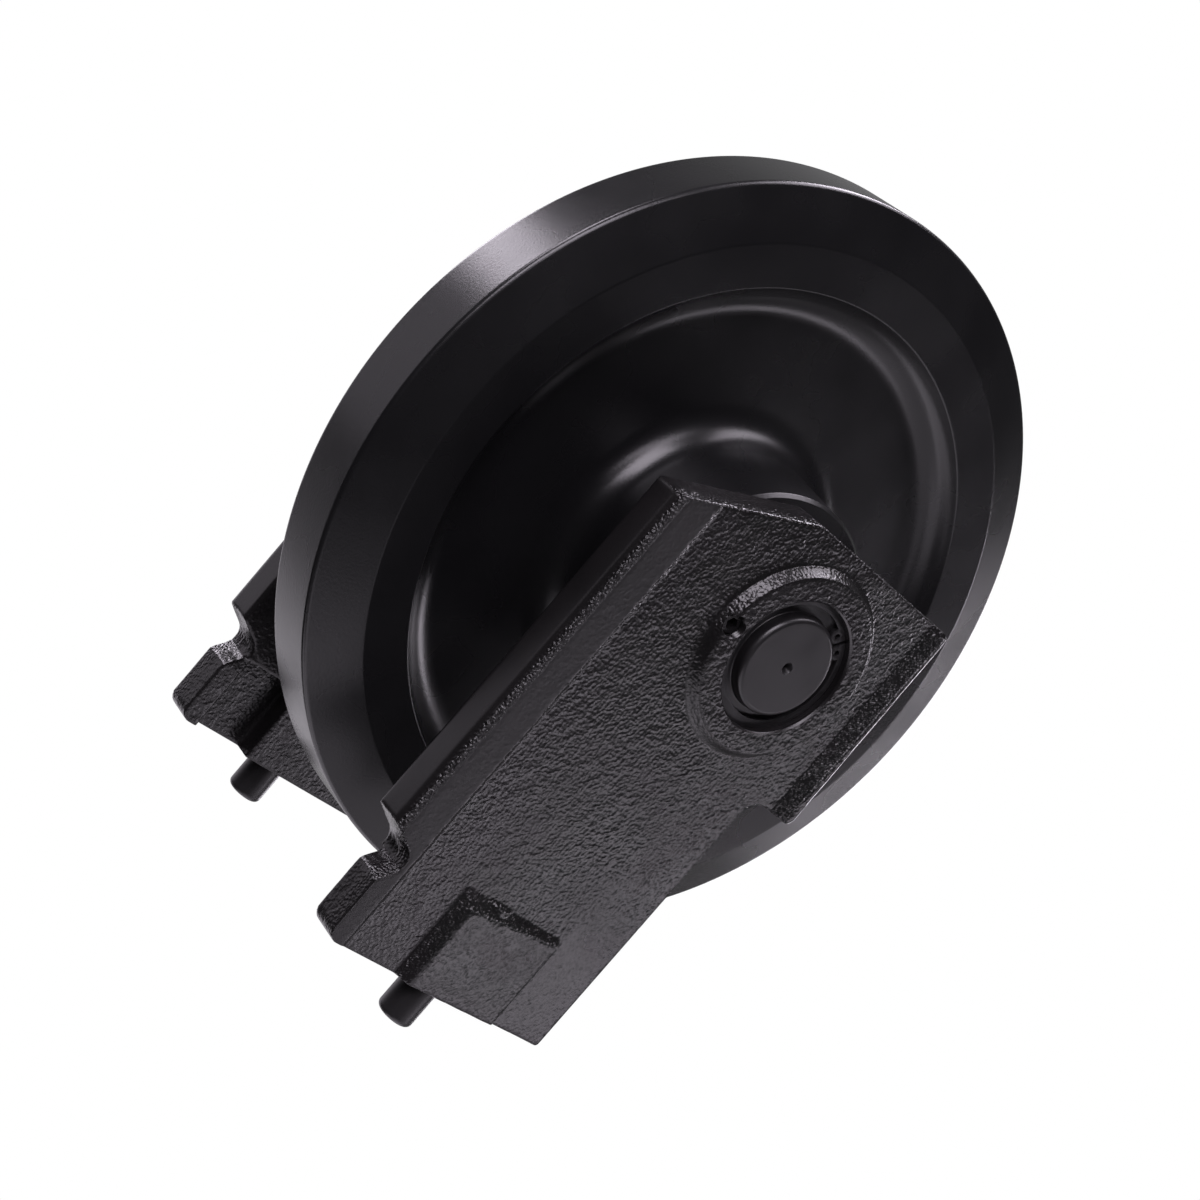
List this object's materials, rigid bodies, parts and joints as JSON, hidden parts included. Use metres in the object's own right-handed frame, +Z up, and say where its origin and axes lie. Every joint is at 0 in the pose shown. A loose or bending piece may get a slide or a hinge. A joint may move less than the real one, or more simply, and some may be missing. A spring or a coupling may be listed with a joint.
{
  "type": "excavator front idler",
  "caption": "Track idler: a dished steel wheel turns on a fixed axle between a pair of cast slide brackets, with face seals in the hub and locating pins at the rear.",
  "frame": {"origin": "centre of the wheel, on the axle's axis and midway between the brackets", "axes": "+X forward to the brackets' nose, +Y to the left along the axle, +Z up"},
  "size_m": [0.3832, 0.1886, 0.35],
  "materials": {
    "wheel_paint": "satin black paint on a turned steel wheel",
    "casting_paint": "semi-gloss black paint on a rough sand casting",
    "shaft_paint": "satin black paint on turned steel",
    "plug_paint": "satin black paint on a steel plug",
    "pin_paint": "satin black paint on a steel pin",
    "spring_steel": "black phosphate on spring steel",
    "seal_steel": "lapped hard iron",
    "bronze": "turned bearing bronze",
    "nitrile_rubber": "moulded nitrile rubber"
  },
  "bodies": {
    "frame": {"axle_shaft": "shaft_paint", "bracket_right": "casting_paint", "shaft_oring_right": "nitrile_rubber", "circlip_right": "spring_steel", "oil_plug_right": "plug_paint", "fixed_seal_ring_right": "seal_steel", "fixed_toric_right": "nitrile_rubber", "locating_pin_right": "pin_paint", "bracket_left": "casting_paint", "shaft_oring_left": "nitrile_rubber", "circlip_left": "spring_steel", "oil_plug_left": "plug_paint", "fixed_seal_ring_left": "seal_steel", "fixed_toric_left": "nitrile_rubber", "locating_pin_left": "pin_paint"},
    "wheel": {"idler_wheel": "wheel_paint", "bushing_right": "bronze", "rotating_seal_ring_right": "seal_steel", "rotating_toric_right": "nitrile_rubber", "bushing_left": "bronze", "rotating_seal_ring_left": "seal_steel", "rotating_toric_left": "nitrile_rubber"}
  },
  "joints": [
    {"name": "wheel_spin", "type": "hinge", "parent": "frame", "child": "wheel", "pos_m": [0, 0, 0], "axis": [0, 1, 0], "continuous": true}
  ]
}
